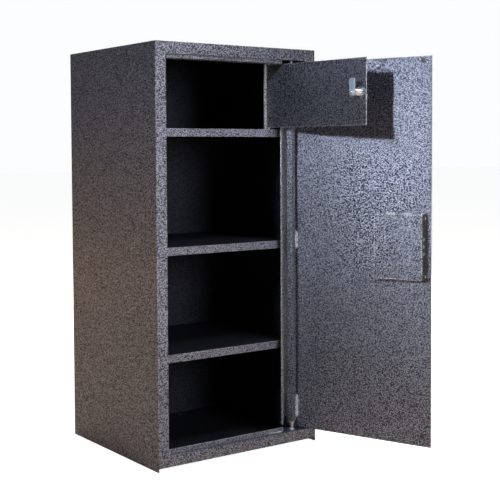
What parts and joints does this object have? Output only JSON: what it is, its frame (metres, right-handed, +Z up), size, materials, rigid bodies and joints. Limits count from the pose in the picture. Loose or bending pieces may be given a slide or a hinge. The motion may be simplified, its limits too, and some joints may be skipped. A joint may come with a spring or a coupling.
{
  "type": "document safe",
  "caption": "Upright steel document safe with a lever-locked door hung on pivots, shelves, and an inner treasury compartment with its own cam-locked door.",
  "frame": {"origin": "centre of the cabinet's 440 by 405 mm footprint, on the floor", "axes": "+X to the right seen from the front, +Y from the front into the depth, +Z up. Stored with both doors open."},
  "size_m": [0.5678, 0.7102, 0.94],
  "materials": {
    "hammertone_grey": "glossy hammertone enamel",
    "dark_enamel": "satin enamel",
    "bright_steel": "zinc plated",
    "chrome": "polished",
    "brass": "stamped sheet",
    "black_rubber": "matte",
    "black_plastic": "moulded"
  },
  "bodies": {
    "cabinet": {"body_wrap": "hammertone_grey", "top_panel": "hammertone_grey", "floor_panel": "hammertone_grey", "left_stile": "hammertone_grey", "right_stile": "hammertone_grey", "header": "hammertone_grey", "sill": "hammertone_grey", "header_stop": "hammertone_grey", "sill_stop": "hammertone_grey", "left_stop": "hammertone_grey", "lower_pivot_pin": "bright_steel", "upper_pivot_pin": "bright_steel", "lower_thrust_bush": "bright_steel", "upper_shelf": "hammertone_grey", "lower_shelf": "hammertone_grey", "treasury_floor": "hammertone_grey", "upper_shelf_cleat_left": "hammertone_grey", "upper_shelf_cleat_right": "hammertone_grey", "lower_shelf_cleat_left": "hammertone_grey", "lower_shelf_cleat_right": "hammertone_grey", "treasury_floor_cleat_left": "hammertone_grey", "treasury_floor_cleat_right": "hammertone_grey", "treasury_hinge_post": "hammertone_grey", "treasury_closing_plate": "hammertone_grey", "treasury_strike": "hammertone_grey", "treasury_top_rail": "hammertone_grey"},
    "main_door": {"main_door_leaf": "hammertone_grey", "stop_pads": "black_rubber", "hinge_bar": "hammertone_grey", "hinge_bar_packer_low": "hammertone_grey", "hinge_bar_packer_middle": "hammertone_grey", "hinge_bar_packer_high": "hammertone_grey", "hinge_side_flange": "hammertone_grey", "lock_housing": "hammertone_grey", "lock_forend": "dark_enamel", "forend_screws": "bright_steel", "lock_case_plate": "bright_steel", "carriage_guide_studs": "bright_steel", "lever_stump": "bright_steel", "keyhole_escutcheon": "bright_steel", "escutcheon_rivets": "bright_steel"},
    "bolt_works": {"lock_bolt_lower": "bright_steel", "lock_bolt_middle": "bright_steel", "lock_bolt_upper": "bright_steel", "bolt_carriage": "bright_steel"},
    "levers": {"lever_pack": "brass"},
    "door_key": {"main_key": "chrome"},
    "treasury_door": {"treasury_door_leaf": "hammertone_grey", "treasury_door_pins": "bright_steel", "cam_lock_barrel": "chrome", "cam_lock_nut": "chrome"},
    "cam_lock": {"cam_lock_plug": "chrome", "locking_cam": "chrome", "cam_screw": "chrome", "treasury_key_blade": "chrome", "treasury_key_bow": "black_plastic"},
    "ring": {"key_ring": "chrome"}
  },
  "joints": [
    {"name": "main_door_swing", "type": "hinge", "parent": "cabinet", "child": "main_door", "pos_m": [0.1645, -0.182, 0], "axis": [0, 0, 1], "range_deg": [-110.5, 0]},
    {"name": "treasury_door_swing", "type": "hinge", "parent": "cabinet", "child": "treasury_door", "pos_m": [0.1275, -0.1435, 0], "axis": [0, 0, 1], "range_deg": [-97.5, 0]},
    {"name": "main_key_turn", "type": "hinge", "parent": "main_door", "child": "door_key", "pos_m": [0.2818, -0.45149, 0.446], "axis": [0.9367, 0.3502, 0], "range_deg": [0, 360]},
    {"name": "bolt_throw", "type": "slide", "parent": "main_door", "child": "bolt_works", "axis": [0.3502, -0.9367, 0], "range_m": [0, 0.026]},
    {"name": "lever_lift", "type": "hinge", "parent": "main_door", "child": "levers", "pos_m": [0.2658, -0.4201, 0.468], "axis": [-0.9367, -0.3502, 0], "range_deg": [0, 8]},
    {"name": "treasury_key_turn", "type": "hinge", "parent": "treasury_door", "child": "cam_lock", "pos_m": [0.1649, -0.42755, 0.829], "axis": [0.9914, 0.1305, 0], "range_deg": [0, 90]},
    {"name": "key_ring_swing", "type": "hinge", "parent": "cam_lock", "child": "ring", "pos_m": [0.18051, -0.42549, 0.82715], "axis": [-0.1305, 0.9914, 0], "range_deg": [-60, 30]}
  ],
  "couplings": [
    {"joint": "treasury_door_swing", "follows": "main_door_swing", "ratio": 0.88235},
    {"joint": "bolt_throw", "follows": "main_key_turn", "m_per_rad": 0.004},
    {"joint": "lever_lift", "follows": "main_key_turn", "ratio": 0.0222}
  ]
}
